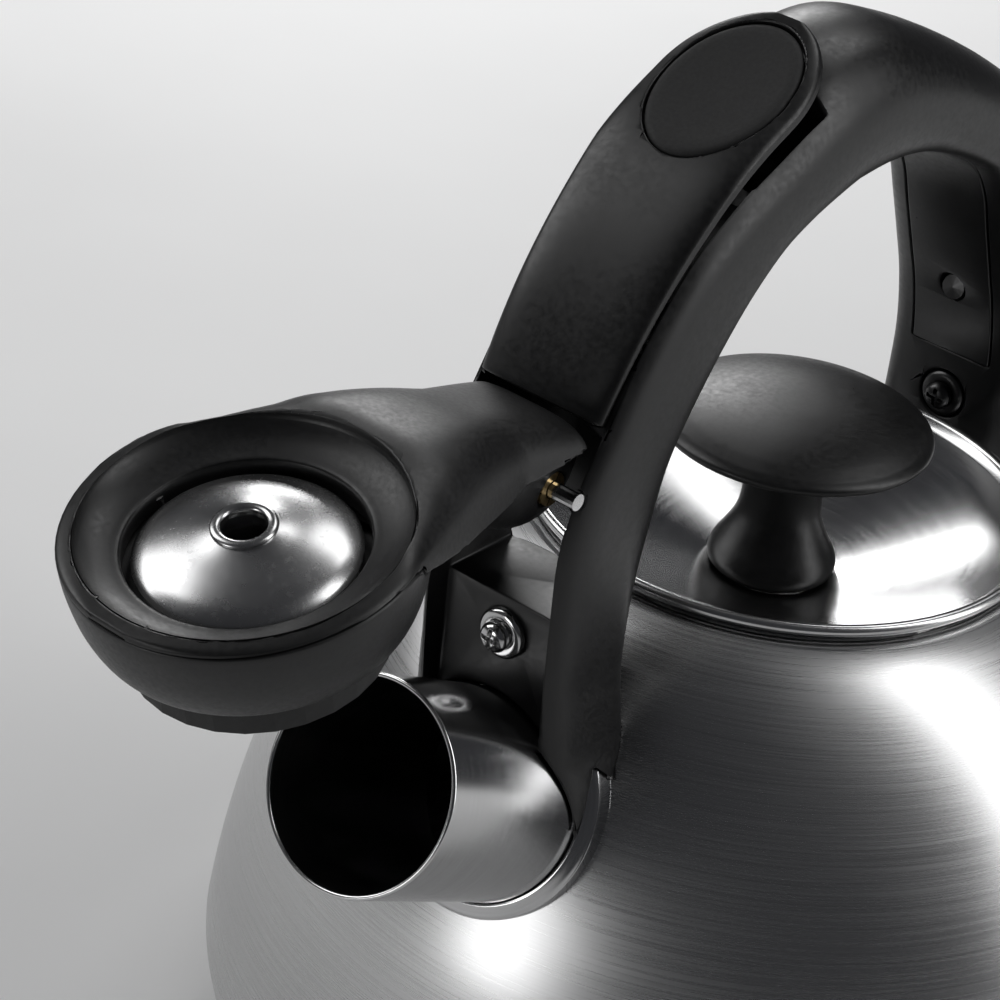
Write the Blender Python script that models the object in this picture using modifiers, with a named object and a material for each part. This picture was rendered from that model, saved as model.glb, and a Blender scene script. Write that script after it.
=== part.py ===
"""Stovetop whistling kettle, modelled at its real size as separate pieces.

Metres, +Z up. The origin is the centre of the underside of the base, on the axis of the body. The
spout points to -Y and the handle lies in the plane X = 0. The whistle cap stands open, which is the
rest position of its hinge; shut, it lies square on the mouth of the spout.
"""

from math import cos, pi, radians, sin, sqrt

import bmesh
import bpy
from mathutils import Matrix, Vector

MM = 0.001
GAP = 0.3

# Body: a shoulder that follows a superellipse, on an encapsulated flat base.
BODY_RADIUS = 104.5
BODY_HEIGHT = 150.0
BODY_LEVEL = -7.7
BODY_POWER = 2.24
BODY_WALL = 1.0
BASE_RADIUS = 87.0
BASE_HEIGHT = 4.6
CORNER_TOP = 24.0
NECK_RADIUS = 46.2
NECK_OUTER = 50.4
NECK_DEPTH = 11.0

# Spout: a straight tube that rises towards -Y.
SPOUT_MOUTH = Vector((0.0, -116.7, 118.6))
SPOUT_ANGLE = radians(28.2)
SPOUT_RADIUS = 19.0
SPOUT_WALL = 0.9
SPOUT_LENGTH = 49.0
COLLAR_RADIUS = 22.1
COLLAR_AT = 42.0

# Lid: a dished disc with a rolled rim, and a mushroom knob.
LID_RADIUS = 49.3
LID_RIM = 131.4
LID_CENTRE = 113.4
LID_POWER = 1.5
LID_WALL = 0.9
KNOB_RADIUS = 26.4
KNOB_UNDERSIDE = 145.4
KNOB_TOP = 151.2
FOOT_RADIUS = 12.4

# Whistle cap: its own frame has W along the cap's axis and U towards the hinge.
CAP_CENTRE = Vector((0.0, -148.0, 177.8))
CAP_TILT = radians(76.5)
CAP_RADIUS = 28.1
DISC_RADIUS = 17.4
CAP_OPENING = 18.7
ARM_HALF_WIDTH = 12.9
ARM_END = 63.0
BOWL_DEPTH = 14.0
MOUTH_BELOW_DISC = 20.3
HINGE = Vector((0.0, -86.0, 168.0))
PIN_RADIUS = 1.5

# Handle: an arch between a crown line and an inner line, (y, z) pairs from the front foot to the rear.
ARCH = (
    ((-83.5, 102.0), (-64.0, 102.0)),
    ((-86.5, 115.0), (-63.2, 114.0)),
    ((-88.5, 130.0), (-64.5, 128.0)),
    ((-89.3, 145.0), (-64.3, 142.0)),
    ((-89.6, 158.0), (-62.0, 154.0)),
    ((-87.0, 169.0), (-59.0, 165.5)),
    ((-82.5, 177.5), (-55.5, 172.5)),
    ((-78.0, 186.5), (-50.5, 179.5)),
    ((-72.0, 196.0), (-45.5, 185.5)),
    ((-64.5, 205.0), (-40.0, 191.0)),
    ((-54.5, 212.0), (-33.5, 196.3)),
    ((-44.0, 217.8), (-27.0, 199.0)),
    ((-33.0, 224.0), (-20.5, 200.4)),
    ((-21.0, 229.0), (-13.5, 201.5)),
    ((-7.0, 230.2), (-5.5, 202.7)),
    ((6.5, 226.4), (2.0, 203.1)),
    ((20.0, 221.0), (9.5, 202.3)),
    ((34.5, 213.8), (17.5, 200.3)),
    ((48.5, 205.2), (25.5, 197.2)),
    ((61.0, 195.6), (32.5, 193.0)),
    ((70.5, 185.4), (38.0, 186.0)),
    ((77.0, 174.4), (42.0, 177.0)),
    ((80.8, 163.2), (46.5, 167.0)),
    ((82.6, 152.0), (51.0, 156.5)),
    ((83.0, 140.5), (54.2, 144.0)),
    ((82.2, 127.5), (54.7, 131.0)),
    ((80.5, 112.0), (54.7, 117.0)),
    ((78.0, 98.0), (54.7, 101.0)),
)
HALF_WIDTHS = ((0, 20.6), (1, 17.2), (2, 16.0), (25, 16.0), (27, 16.8))
CROWN_POWER = ((0, 5.0), (6, 4.0), (10, 3.2), (13, 2.3), (20, 2.3), (25, 3.4))
INNER_POWER = ((0, 5.0), (6, 4.0), (10, 3.2), (13, 2.6), (16, 3.2), (18, 5.0))
HANDLE_WALL = 2.7
CHEEK_INNER = 13.2
STRIP_HALF_WIDTH = 9.0
STRIP_THICKNESS = 3.2
SCREW_HEIGHT = 134.2

# Front cover: the line of its face, and the slab's size.
COVER_LINE = ((-82.2, 180.2), (-78.8, 187.0), (-74.2, 194.8), (-68.6, 202.4), (-62.4, 209.4), (-55.9, 215.6),
              (-49.0, 220.3), (-41.3, 224.4), (-35.8, 227.4), (-31.4, 229.7), (-28.2, 231.4), (-26.2, 232.5),
              (-25.0, 233.1))
COVER_THICKNESS = 3.0
COVER_HALF_WIDTH = 14.3
COVER_END = 19.0

# Thumb button: an oval on the top of the front cover, and the rocker under it.
PAD_CENTRE = Vector((0.0, -41.3, 224.4))
PAD_TILT = radians(28.2)
PAD_HALF_LENGTH = 15.9
PAD_HALF_WIDTH = 11.6
ROCKER = Vector((0.0, -64.5, 189.0))
ROCKER_PIN_RADIUS = 1.5


def clear_scene():
    for found in list(bpy.data.objects):
        bpy.data.objects.remove(found, do_unlink=True)


def collection(name):
    made = bpy.data.collections.new(name)
    bpy.context.scene.collection.children.link(made)
    return made


def material(name, colour, roughness, metallic):
    made = bpy.data.materials.new(name)
    made.use_nodes = True
    shader = made.node_tree.nodes["Principled BSDF"]
    shader.inputs["Base Color"].default_value = (*colour, 1.0)
    shader.inputs["Roughness"].default_value = roughness
    shader.inputs["Metallic"].default_value = metallic
    return made


clear_scene()
UPRIGHT = Matrix.Identity(4)
PARTS = collection("whistling_kettle")
CUTTERS = collection("cutters")
BRUSHED = ("brushed_steel", (0.62, 0.62, 0.63), 0.32, 1.0)
POLISHED = ("polished_steel", (0.72, 0.72, 0.73), 0.12, 1.0)
ALUMINIUM = ("aluminium", (0.66, 0.67, 0.69), 0.4, 1.0)
BLACK = ("black_plastic", (0.018, 0.018, 0.019), 0.45, 0.0)
SOFT_BLACK = ("soft_black_pad", (0.03, 0.03, 0.032), 0.75, 0.0)
SILICONE = ("grey_silicone", (0.25, 0.25, 0.26), 0.7, 0.0)
BRASS = ("brass", (0.7, 0.52, 0.25), 0.3, 1.0)


def place(mesh, name, finish, where=PARTS):
    """An object of the mesh, with a material of its own."""
    made = bpy.data.objects.new(name, mesh)
    where.objects.link(made)
    if where is CUTTERS:
        made.hide_render = True
        made.display_type = "WIRE"
    else:
        made.data.materials.append(material(f"{name}_{finish[0]}", *finish[1:]))
    return made


def frame_at(origin, axis):
    """A frame at the origin, in millimetres, whose Z runs along the axis and whose X stays level."""
    z = Vector(axis).normalized()
    x = Vector((1.0, 0.0, 0.0))
    y = z.cross(x).normalized()
    turn = Matrix((x, y, z)).transposed().to_4x4()
    return Matrix.Translation(Vector(origin) * MM) @ turn


SPOUT_AXIS = Vector((0.0, -cos(SPOUT_ANGLE), sin(SPOUT_ANGLE)))
CAP_AXIS = Vector((0.0, -cos(CAP_TILT), sin(CAP_TILT)))
PAD_AXIS = Vector((0.0, -sin(PAD_TILT), cos(PAD_TILT)))
SPOUT_FRAME = frame_at(SPOUT_MOUTH, SPOUT_AXIS)
CAP_FRAME = frame_at(CAP_CENTRE, CAP_AXIS)
PAD_FRAME = frame_at(PAD_CENTRE, PAD_AXIS)


def turned(name, profile, finish, frame=UPRIGHT, steps=30, closed=False, where=PARTS):
    """A Screw about the frame's Z. The profile of (radius, height) runs down its outer side."""
    mesh = bpy.data.meshes.new(name)
    points = [(r * MM, 0.0, z * MM) for r, z in profile]
    edges = [(i, i + 1) for i in range(len(points) - 1)]
    if closed:
        edges.append((len(points) - 1, 0))
    mesh.from_pydata(points, edges, [])
    made = place(mesh, name, finish, where)
    screw = made.modifiers.new("turn", "SCREW")
    screw.steps = steps
    screw.render_steps = steps
    screw.use_merge_vertices = True
    screw.merge_threshold = 0.00001
    screw.use_smooth_shade = True
    made.matrix_world = frame
    return made


def mesh_of(name, build, finish=BLACK, frame=UPRIGHT, where=PARTS):
    """An object whose mesh the build function fills, in millimetres."""
    work = bmesh.new()
    build(work)
    bmesh.ops.scale(work, vec=(MM, MM, MM), verts=work.verts)
    bmesh.ops.recalc_face_normals(work, faces=work.faces)
    mesh = bpy.data.meshes.new(name)
    work.to_mesh(mesh)
    work.free()
    made = place(mesh, name, finish, where)
    made.matrix_world = frame
    return made


def box(name, low, high, finish=BLACK, frame=UPRIGHT, where=PARTS):
    low, high = Vector(low), Vector(high)

    def build(work):
        bmesh.ops.create_cube(work, size=1.0)
        bmesh.ops.scale(work, vec=high - low, verts=work.verts)
        bmesh.ops.translate(work, vec=(low + high) / 2, verts=work.verts)

    return mesh_of(name, build, finish, frame, where)


def rod(name, start, end, radius, finish=POLISHED, frame=UPRIGHT, where=PARTS, segments=16):
    """A cylinder between two points."""
    start, end = Vector(start), Vector(end)
    along = end - start

    def build(work):
        bmesh.ops.create_cone(
            work, cap_ends=True, segments=segments, radius1=radius, radius2=radius, depth=along.length
        )
        turn = along.to_track_quat("Z", "Y").to_matrix().to_4x4()
        bmesh.ops.transform(work, matrix=Matrix.Translation((start + end) / 2) @ turn, verts=work.verts)

    return mesh_of(name, build, finish, frame, where)


def prism(name, outline, half_width, finish=BLACK, frame=UPRIGHT, where=PARTS):
    """A side outline of (y, z) points, extruded to both sides of the middle plane."""

    def build(work):
        face = work.faces.new([work.verts.new((-half_width, y, z)) for y, z in outline])
        grown = bmesh.ops.extrude_face_region(work, geom=[face])
        moved = [part for part in grown["geom"] if isinstance(part, bmesh.types.BMVert)]
        bmesh.ops.translate(work, vec=(2 * half_width, 0, 0), verts=moved)

    return mesh_of(name, build, finish, frame, where)


def lofted(name, rings, finish=BLACK, frame=UPRIGHT, where=PARTS):
    """A skin over rings that have the same number of points, closed at both ends."""

    def build(work):
        rows = [[work.verts.new(point) for point in ring] for ring in rings]
        count = len(rows[0])
        for one, other in zip(rows, rows[1:]):
            for i in range(count):
                j = (i + 1) % count
                work.faces.new((one[i], one[j], other[j], other[i]))
        work.faces.new(rows[0])
        work.faces.new(list(reversed(rows[-1])))

    return mesh_of(name, build, finish, frame, where)


def boolean(target, tool, operation):
    made = target.modifiers.new(f"{operation.lower()} {tool.name}", "BOOLEAN")
    made.operation = operation
    made.object = tool
    made.solver = "EXACT"


def cut(target, *tools):
    for tool in tools:
        boolean(target, tool, "DIFFERENCE")


def join(target, *tools):
    for tool in tools:
        boolean(target, tool, "UNION")


def smooth(target, degrees=40):
    target.data.shade_smooth()
    target.data.set_sharp_from_angle(angle=radians(degrees))


def carry(name, origin, pieces):
    """Parents the pieces to an empty on their joint's axis."""
    pivot = bpy.data.objects.new(name, None)
    PARTS.objects.link(pivot)
    pivot.location = Vector(origin) * MM
    bpy.context.view_layer.update()
    for piece in pieces:
        piece.parent = pivot
        piece.matrix_parent_inverse = pivot.matrix_world.inverted()


def ramp(value, marks):
    """The value read off straight lines through (position, height) marks."""
    for (a, low), (b, high) in zip(marks, marks[1:]):
        if value <= b:
            return low + (high - low) * max(0.0, (value - a) / (b - a))
    return marks[-1][1]


# ---------------------------------------------------------------- body


def shoulder_radius(z):
    return BODY_RADIUS * (1 - ((z - BODY_LEVEL) / BODY_HEIGHT) ** BODY_POWER) ** (1 / BODY_POWER)


def shoulder_height(r):
    return BODY_LEVEL + BODY_HEIGHT * (1 - (r / BODY_RADIUS) ** BODY_POWER) ** (1 / BODY_POWER)


def shoulder(offset=0.0, count=11):
    """The outer curve from the neck down to the corner, moved out by the offset."""
    top = shoulder_height(NECK_OUTER)
    points = []
    for i in range(count):
        z = top + (CORNER_TOP - top) * (i / (count - 1)) ** 0.8
        r = shoulder_radius(z)
        slope = (shoulder_radius(z + 0.1) - shoulder_radius(z - 0.1)) / 0.2
        length = sqrt(1 + slope**2)
        points.append((r + offset / length, z - offset * slope / length))
    return points


def corner(offset=0.0, count=4):
    """The rounded lower corner, from the wall in to the flat of the base."""
    wall = shoulder_radius(CORNER_TOP)
    rise = CORNER_TOP - BASE_HEIGHT
    reach = wall - BASE_RADIUS
    arc = [radians(90 * i / count) for i in range(1, count + 1)]
    return [
        (BASE_RADIUS + (reach + offset) * cos(a), CORNER_TOP - (rise + offset) * sin(a)) for a in arc
    ]


def body_group():
    top = shoulder_height(NECK_OUTER)
    low = top - NECK_DEPTH
    outside = [(NECK_RADIUS, low), (NECK_RADIUS, top - 1.2), (NECK_RADIUS + 0.5, top - 0.1),
               (NECK_RADIUS + 1.8, top + 0.5), (NECK_RADIUS + 3.1, top + 0.4)]
    outside += shoulder() + corner() + [(0.0, BASE_HEIGHT)]
    inside = [(0.0, BASE_HEIGHT + BODY_WALL)] + list(reversed(corner(-BODY_WALL)))
    inside += list(reversed(shoulder(-BODY_WALL))) + [(NECK_RADIUS + 2.0, top - 0.9),
                                                      (NECK_RADIUS + 1.0, top - 1.6),
                                                      (NECK_RADIUS + 0.9, low)]
    body = turned("body_shell", inside + outside, BRUSHED, steps=40)
    far = SPOUT_MOUTH - SPOUT_AXIS * (SPOUT_LENGTH + 12)
    near = SPOUT_MOUTH - SPOUT_AXIS * 20
    cut(body, rod("spout_hole", far, near, SPOUT_RADIUS + GAP, where=CUTTERS, segments=32))

    core_top = BASE_HEIGHT - GAP
    turned("base_core", [(0, core_top), (BASE_RADIUS - 2.6, core_top), (BASE_RADIUS - 2.3, core_top - 0.4),
                         (BASE_RADIUS - 2.3, 1.5), (BASE_RADIUS - 2.6, 1.1), (0, 1.1)],
           ALUMINIUM, steps=36)
    turned("base_pan", [(BASE_RADIUS - 1.0, core_top), (BASE_RADIUS - 0.9, 2.2), (BASE_RADIUS - 1.6, 0.6),
                        (BASE_RADIUS - 3.4, 0.0), (0, 0.0), (0, 0.8), (BASE_RADIUS - 3.2, 0.8),
                        (BASE_RADIUS - 2.1, 1.3), (BASE_RADIUS - 1.8, 2.4), (BASE_RADIUS - 1.8, core_top),
                        (BASE_RADIUS - 1.0, core_top)], POLISHED, steps=36)
    ledge = low - 0.4
    turned("lid_seat_ring", [(NECK_RADIUS - GAP, ledge + 3.6), (NECK_RADIUS - GAP, ledge),
                             (NECK_RADIUS - 5.0, ledge), (NECK_RADIUS - 5.0, ledge + 0.9),
                             (NECK_RADIUS - 1.2, ledge + 0.9), (NECK_RADIUS - 1.2, ledge + 3.6)],
           POLISHED, steps=36, closed=True)


def tube_cutter(name, extra, near=10.0):
    """A solid cylinder round the spout, wider than it by the extra."""
    far = SPOUT_MOUTH - SPOUT_AXIS * (SPOUT_LENGTH + 15)
    return rod(name, far, SPOUT_MOUTH + SPOUT_AXIS * near, SPOUT_RADIUS + extra, where=CUTTERS, segments=32)


def body_cutter(name, extra):
    """The solid body and lid opening, grown by the extra."""
    top = shoulder_height(NECK_OUTER)
    profile = [(0, top + 3), (NECK_OUTER - 1, top + 3)] + shoulder(extra) + [(BODY_RADIUS + 1, 20), (0, 20)]
    return turned(name, profile, BLACK, steps=40, where=CUTTERS)


def spout_group():
    r, wall = SPOUT_RADIUS, SPOUT_WALL
    turned("spout_tube", [(r - 0.1, -0.1), (r, -0.35), (r, -SPOUT_LENGTH), (r - wall, -SPOUT_LENGTH),
                          (r - wall, -0.3), (r - wall + 0.15, -0.1), (r - wall / 2, 0.0)],
           BRUSHED, SPOUT_FRAME, steps=30, closed=True)
    at = -COLLAR_AT
    collar = turned("spout_collar", [(r + GAP, at + 1.6), (r + 0.9, at + 1.5), (COLLAR_RADIUS - 1.2, at + 0.9),
                                     (COLLAR_RADIUS - 0.2, at + 0.5), (COLLAR_RADIUS, at - 0.4),
                                     (COLLAR_RADIUS, at - 9), (r + GAP, at - 9)],
                    BRUSHED, SPOUT_FRAME, steps=30, closed=True)
    cut(collar, body_cutter("body_under_collar", GAP))


# ---------------------------------------------------------------- lid


def dish_height(r):
    edge = LID_RADIUS - 2.4
    return LID_CENTRE + (LID_RIM - 0.4 - LID_CENTRE) * (r / edge) ** LID_POWER


def lid_group():
    edge = LID_RADIUS - 2.4
    radii = [edge * i / 6 for i in range(7)]
    rim = [(LID_RADIUS + 1.15 * cos(a) - 1.15, LID_RIM + 1.15 * sin(a)) for a in
           (radians(d) for d in (130, 90, 45, 0, -45, -90, -130))]
    upper = [(r, dish_height(r)) for r in radii]
    lower = [(r, dish_height(r) - LID_WALL) for r in reversed(radii)]
    upper[0] = (2.3, dish_height(0))
    lower[-1] = (2.3, dish_height(0) - LID_WALL)
    dish = turned("lid_dish", upper + rim + lower, BRUSHED, steps=36, closed=True)

    wall = NECK_RADIUS - 1.0
    base = LID_RIM - 9.5
    skirt = turned("lid_skirt", [(wall - 1.0, LID_RIM - 3.6), (wall, LID_RIM - 4.4), (wall, base),
                                 (wall - 0.8, base), (wall - 0.8, LID_RIM - 5.4),
                                 (wall - 1.8, LID_RIM - 5.0)],
                   POLISHED, steps=36, closed=True)
    gasket = turned("lid_gasket", [(wall - 1.1, base + 1.0), (wall - 1.1, base - 3.2), (wall - 3.0, base - 3.2),
                                   (wall - 3.0, base + 1.0)], SILICONE, steps=30, closed=True)

    foot = dish_height(9.5) + GAP + 0.2
    stem = turned("knob_stem", [(0, KNOB_UNDERSIDE - 0.3), (8.6, KNOB_UNDERSIDE - 0.3),
                                (8.0, KNOB_UNDERSIDE - 2.5),
                                (7.7, KNOB_UNDERSIDE - 8), (7.8, foot + 14), (8.6, foot + 10.5),
                                (10.4, foot + 7), (11.9, foot + 4.4), (FOOT_RADIUS, foot + 2.4),
                                (11.8, foot + 0.7), (10.2, foot), (0, foot)], BLACK, steps=24)
    cut(stem, rod("knob_screw_hole", (0, 0, foot - 2), (0, 0, foot + 14), 2.0, where=CUTTERS, segments=16))
    head = turned("knob_head", [(0, KNOB_TOP), (9, KNOB_TOP - 0.3), (17, KNOB_TOP - 1.3),
                                (23, KNOB_TOP - 2.9), (25.6, KNOB_TOP - 4.0), (KNOB_RADIUS, KNOB_TOP - 5.0),
                                (26.0, KNOB_UNDERSIDE + 0.1), (24.8, KNOB_UNDERSIDE - 0.3),
                                (20, KNOB_UNDERSIDE), (0, KNOB_UNDERSIDE)], BLACK, steps=32)
    under = dish_height(0) - LID_WALL
    screw = turned("knob_screw", [(0, foot + 12), (1.7, foot + 12), (1.7, under - 1.2), (3.6, under - 1.3),
                                  (3.4, under - 2.8), (2.2, under - 3.4), (0, under - 3.5)],
                   POLISHED, steps=16)
    cut(screw, box("knob_screw_slot", (-2.8, -0.5, under - 5), (2.8, 0.5, under - 2.6), where=CUTTERS))
    washer = turned("knob_washer", [(5.5, under - 0.3), (5.5, under - 0.9), (2.1, under - 0.9),
                                    (2.1, under - 0.3)], POLISHED, steps=18, closed=True)
    carry("lid_axis", (0, 0, LID_RIM), [dish, skirt, gasket, stem, head, screw, washer])


# ---------------------------------------------------------------- whistle cap

# Heights along the cap, as (distance towards the hinge, height) in the cap's frame.
TOP_LINE = ((-29, 4.0), (0, 4.4), (24, 5.2), (32, 3.6), (40, 0.2), (47.5, -4.0), (56.5, -8.9), (63, -12.8),
            (66, -14.6))
PARTING = ((-40, 2.7), (5, 2.7), (12, -0.6), (18, -3.7), (24, -6.5), (36, -10.9), (48, -14.6), (55, -16.0),
           (80, -19.0))
UNDERSIDE = ((14, -13.2), (22.5, -13.9), (32, -18.0), (42, -24.0), (51, -30.6), (58, -32.8), (63, -30.6),
             (66, -25.5))
ARM_DOME = ((-30, 7.0), (8, 7.0), (18, 4.0), (28, 2.6), (66, 2.6))
ARM_STATIONS = (6, 13, 19, 24, 30, 38, 46, 54, 61, ARM_END)


def arm_half_width(u):
    """The teardrop plan of the cap and its arm."""
    lean = radians(13.4)
    if u < CAP_RADIUS * sin(lean):
        return sqrt(max(CAP_RADIUS**2 - u**2, 0.0))
    slope = (CAP_RADIUS * cos(lean) - ARM_HALF_WIDTH) / (48.0 - CAP_RADIUS * sin(lean))
    return max(ARM_HALF_WIDTH, ARM_HALF_WIDTH + (48.0 - u) * slope)


def crowned_ring(u, half, low, high, power, points=14):
    """A section with a level floor and a crown that follows a superellipse."""
    ring = []
    for i in range(points):
        a = pi * i / (points - 1)
        side = 1 if cos(a) > 0 else -1
        ring.append((side * half * abs(cos(a)) ** (2 / power), u,
                     low + (high - low) * abs(sin(a)) ** (2 / power)))
    return ring


def cap_group():
    ends = [-CAP_RADIUS * cos(radians(a)) for a in (8, 16, 26, 38, 52, 68, 84)]
    floor = {u: min(ramp(u, PARTING) - 3.0, ramp(u, TOP_LINE) - 4.0) for u in (*ends, *ARM_STATIONS)}
    top = lofted("cap_top", [crowned_ring(u, arm_half_width(u), floor[u], ramp(u, TOP_LINE), ramp(u, ARM_DOME))
                             for u in (*ends, *ARM_STATIONS)], BLACK, CAP_FRAME)
    hollow = lofted("arm_hollow", [crowned_ring(u, arm_half_width(u) - 2.4, -40, ramp(u, TOP_LINE) - 2.6, 5)
                                   for u in (31, 38, 46, 54, 61, 70)], BLACK, CAP_FRAME, CUTTERS)
    below = [*PARTING, (80, -60), (-40, -60)]
    collar = turned("cap_collar", [(0, 3.0), (25.5, 3.0), (25.5, -3.0), (0, -3.0)], BLACK, CAP_FRAME,
                    steps=28, where=CUTTERS)
    dish = turned("cap_dish", [(0, 20), (25.3, 20), (25.3, 3.6), (24.8, 3.1), (19.6, 0.6), (CAP_OPENING, 0.2),
                               (CAP_OPENING, -16), (0, -16)], BLACK, CAP_FRAME, steps=32, where=CUTTERS)
    cut(top, prism("below_parting", below, 40, frame=CAP_FRAME, where=CUTTERS), hollow)
    join(top, collar)
    cut(top, dish)

    bowl = turned("cap_bowl", [(0, 8), (27.9, 8), (27.9, 1.5), (27.5, -2.5), (26.6, -6.8), (25.1, -10.6),
                               (22.9, -13.2), (20.5, -BOWL_DEPTH), (0, -BOWL_DEPTH)],
                  BLACK, CAP_FRAME, steps=32)
    stations = (16, 22, 30, 38, 46, 53, 59, 64, 66)
    tail = lofted("arm_tail", [
        [(x, y, -z) for x, y, z in
         crowned_ring(u, min(arm_half_width(u) - 0.3, 10.0 + 0.32 * max(0, 46 - u)), 2.0,
                      -ramp(u, UNDERSIDE), 3.4)]
        for u in stations
    ], BLACK, CAP_FRAME, CUTTERS)
    lifted = [*((u, w - GAP) for u, w in PARTING), (80, 60), (-40, 60)]
    seat = turned("bowl_seat", [(0, 20), (26.1, 20), (26.1, -3.4), (15.6, -3.4), (15.6, -30), (0, -30)],
                  BLACK, CAP_FRAME, steps=30, where=CUTTERS)
    join(bowl, tail)
    bore = rod("arm_bore", (-20, *HINGE.yz), (20, *HINGE.yz), 3.3, where=CUTTERS)
    cut(bowl, prism("above_parting", lifted, 40, frame=CAP_FRAME, where=CUTTERS), seat, bore)

    r = DISC_RADIUS
    disc = turned("whistle_disc", [(3.5, 3.5), (4.4, 3.6), (5.2, 2.9), (7.5, 2.5), (11, 1.7), (14.5, 0.5),
                                   (r - 0.6, -0.6), (r, -1.4), (r - 0.3, -3.0), (r - 1.1, -3.0),
                                   (r - 1.0, -1.6), (14.2, -0.4), (10.8, 0.8), (7.4, 1.6), (4.6, 2.1),
                                   (3.5, 2.6)], POLISHED, CAP_FRAME, steps=32, closed=True)
    spacer = turned("whistle_spacer", [(15.2, -3.7), (15.2, -6.0), (14.2, -6.0), (14.2, -3.7)], POLISHED,
                    CAP_FRAME, steps=24, closed=True)
    lower = turned("whistle_lower_disc", [(15.2, -6.3), (15.2, -7.1), (2.6, -7.1), (2.6, -6.3)], POLISHED,
                   CAP_FRAME, steps=24, closed=True)
    carrier = turned("seal_carrier", [(15.2, -8.0), (15.2, -14.3), (20.8, -14.3), (20.8, -15.6), (13.6, -15.6),
                                      (13.6, -8.0)], BLACK, CAP_FRAME, steps=28, closed=True)
    seal_low = -(MOUTH_BELOW_DISC - GAP)
    seal = turned("spout_seal", [(20.5, -15.9), (20.5, seal_low + 0.6), (19.9, seal_low), (17.1, seal_low),
                                 (16.5, seal_low + 0.6), (16.5, -15.9)], SILICONE, CAP_FRAME, steps=28,
                  closed=True)
    screws = []
    for side, label in ((1, "left"), (-1, "right")):
        x = side * 19.7
        hole = rod(f"cap_hole_{label}", (x, 0, -30), (x, 0, -0.8), 1.62, frame=CAP_FRAME, where=CUTTERS,
                   segments=14)
        seat = rod(f"cap_screw_seat_{label}", (x, 0, -30), (x, 0, -10.3), 2.7, frame=CAP_FRAME, where=CUTTERS,
                   segments=16)
        cut(top, hole)
        cut(bowl, hole, seat)
        screws.append(turned(f"cap_screw_{label}", [(0, -1.2), (1.25, -1.2), (1.25, -10.6), (2.3, -10.6),
                                                    (2.1, -12.2), (0, -12.4)], POLISHED,
                             CAP_FRAME @ Matrix.Translation((x * MM, 0, 0)), steps=12))
    along = Matrix.Translation(HINGE * MM) @ Matrix.Rotation(pi / 2, 4, "Y")
    bush = turned("hinge_bush", [(3.0, 9.0), (3.0, -9.0), (PIN_RADIUS + 0.2, -9.0), (PIN_RADIUS + 0.2, 9.0)],
                  BRASS, along, steps=18, closed=True)
    for piece in (top, bowl):
        smooth(piece, 50)
    carry("cap_hinge_axis", HINGE, [top, bowl, disc, spacer, lower, carrier, seal, bush, *screws])


# ---------------------------------------------------------------- handle


def rounded_ring(centre, outward, half_depth, half_width, crown_power, inner_power, points=16):
    """Two halves of superellipses across the handle, as a closed ring."""
    ring = []
    for i in range(points):
        a = 2 * pi * (i + 0.5) / points
        bend = 2 / (crown_power if sin(a) > 0 else inner_power)
        x = half_width * abs(cos(a)) ** bend * (1 if cos(a) > 0 else -1)
        h = half_depth * abs(sin(a)) ** bend * (1 if sin(a) > 0 else -1)
        ring.append(tuple(centre + Vector((x, 0, 0)) + outward * h))
    return ring


def arch_at(station):
    """(inner point, outward direction, depth) of the arch at a station, which may lie between two."""
    i = min(int(station), len(ARCH) - 2)
    t = station - i
    crown = Vector((0, *ARCH[i][0])).lerp(Vector((0, *ARCH[i + 1][0])), t)
    inner = Vector((0, *ARCH[i][1])).lerp(Vector((0, *ARCH[i + 1][1])), t)
    return inner, (crown - inner).normalized(), (crown - inner).length


def arch_solid(name, inset, stations, where=PARTS):
    """The arch through the stations, with its skin moved in by the inset."""
    rings = []
    for i in stations:
        inner, outward, depth = arch_at(i)
        rings.append(rounded_ring(inner + outward * depth / 2, outward, depth / 2 - inset,
                                  ramp(i, HALF_WIDTHS) - inset, ramp(i, CROWN_POWER), ramp(i, INNER_POWER)))
    return lofted(name, rings, BLACK, where=where)


def strip_solid(name, half_width, low, high, first, last, where=PARTS):
    """A strip along the underside of the arch, between two depths."""
    rings = []
    for i in range(first, last + 1):
        inner, outward, _ = arch_at(i)
        rings.append([tuple(inner + Vector((x, 0, 0)) + outward * h) for x, h in (
            (-half_width, low), (half_width, low), (half_width, high), (-half_width, high))])
    return lofted(name, rings, BLACK, where=where)


def cover_line(level):
    """(point, outward direction) pairs along the cover, at a level counted outwards from its face."""
    line = [Vector((0, y, z)) for y, z in COVER_LINE]
    pairs = []
    for i, point in enumerate(line):
        along = (line[min(i + 1, len(line) - 1)] - line[max(i - 1, 0)]).normalized()
        outward = Vector((0, -along.z, along.y))
        pairs.append((point + outward * level, outward))
    return pairs


def cover_solid(name):
    """The domed slab of the front cover, narrower at its lower end and rounded past the pad."""
    rings = []
    for i, (floor, outward) in enumerate(cover_line(-COVER_THICKNESS)):
        face = floor + outward * COVER_THICKNESS
        past = max(0.0, (face - PAD_CENTRE).dot(Vector((0, cos(PAD_TILT), sin(PAD_TILT)))))
        half_width = min(COVER_HALF_WIDTH, 12.8 + 0.3 * i) * sqrt(1 - (past / COVER_END) ** 2)
        power = min(4.5, 2.5 + 0.4 * i)
        ring = []
        for j in range(12):
            a = pi * j / 11
            side = 1 if cos(a) > 0 else -1
            rise = COVER_THICKNESS * (0.2 + 0.8 * abs(sin(a)) ** (2 / power))
            across = Vector((side * half_width * abs(cos(a)) ** (2 / power), 0, 0))
            ring.append(tuple(floor + across + outward * rise))
        reach = Vector((half_width, 0, 0))
        rings.append([tuple(floor + reach), *ring, tuple(floor - reach)])
    return lofted(name, rings)


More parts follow.
